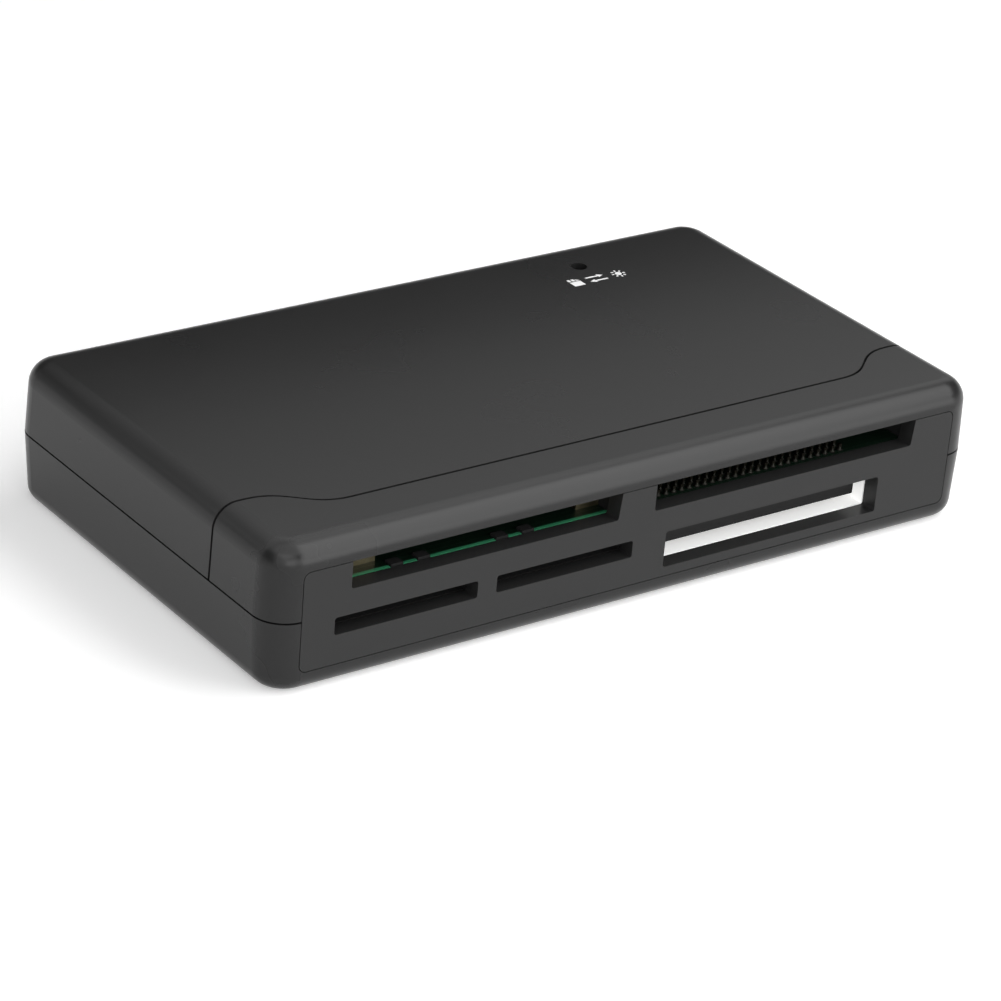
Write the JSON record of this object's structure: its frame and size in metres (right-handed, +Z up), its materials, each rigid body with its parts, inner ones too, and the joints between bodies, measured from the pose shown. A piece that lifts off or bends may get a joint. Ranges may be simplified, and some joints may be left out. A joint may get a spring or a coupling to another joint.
{
  "type": "usb memory card reader",
  "caption": "Flat desktop card reader: rounded two-part black case, front plate with wide, narrow and flat card slots, circuit board with sockets inside and a lead socket at the rear.",
  "frame": {"origin": "centre of the case's bottom face, on the surface that the reader stands on", "axes": "+X along the front from the left-hand slots to the right-hand ones, +Y from the front plate to the rear lead socket, +Z up"},
  "size_m": [0.1122, 0.064, 0.0201],
  "materials": {
    "case_plastic": "satin, fine moulded grain",
    "panel_plastic": "satin, fine moulded grain",
    "socket_plastic": "matte black",
    "tray_plastic": "matte white",
    "board_laminate": "green solder mask",
    "contact_metal": "thin gold plating",
    "spring_brass": "dull brass",
    "shell_steel": "tin plating",
    "screw_steel": "black zinc",
    "can_aluminium": "drawn can",
    "chip_resin": "moulded resin",
    "led_resin": "tinted clear resin, unlit"
  },
  "bodies": {
    "root": {"bottom_shell": "case_plastic", "top_cover": "case_plastic", "front_bezel": "case_plastic", "front_panel": "panel_plastic", "case_screws": "screw_steel", "circuit_board": "board_laminate", "pin_card_socket": "socket_plastic", "pin_card_pins": "contact_metal", "wide_card_socket": "socket_plastic", "wide_card_contacts": "contact_metal", "wide_card_springs": "spring_brass", "narrow_socket_left": "socket_plastic", "narrow_contacts_left": "contact_metal", "narrow_socket_right": "socket_plastic", "narrow_contacts_right": "contact_metal", "flat_card_tray": "tray_plastic", "flat_card_bar": "socket_plastic", "flat_card_tails": "contact_metal", "flat_card_contacts": "contact_metal", "usb_socket_shell": "shell_steel", "usb_socket_tongue": "socket_plastic", "usb_socket_contacts": "contact_metal", "access_led": "led_resin", "controller_chip": "chip_resin", "controller_legs": "shell_steel", "crystal": "shell_steel", "regulator": "chip_resin", "can_capacitors": "can_aluminium", "can_bases": "socket_plastic", "chip_resistors": "chip_resin"}
  },
  "joints": []
}
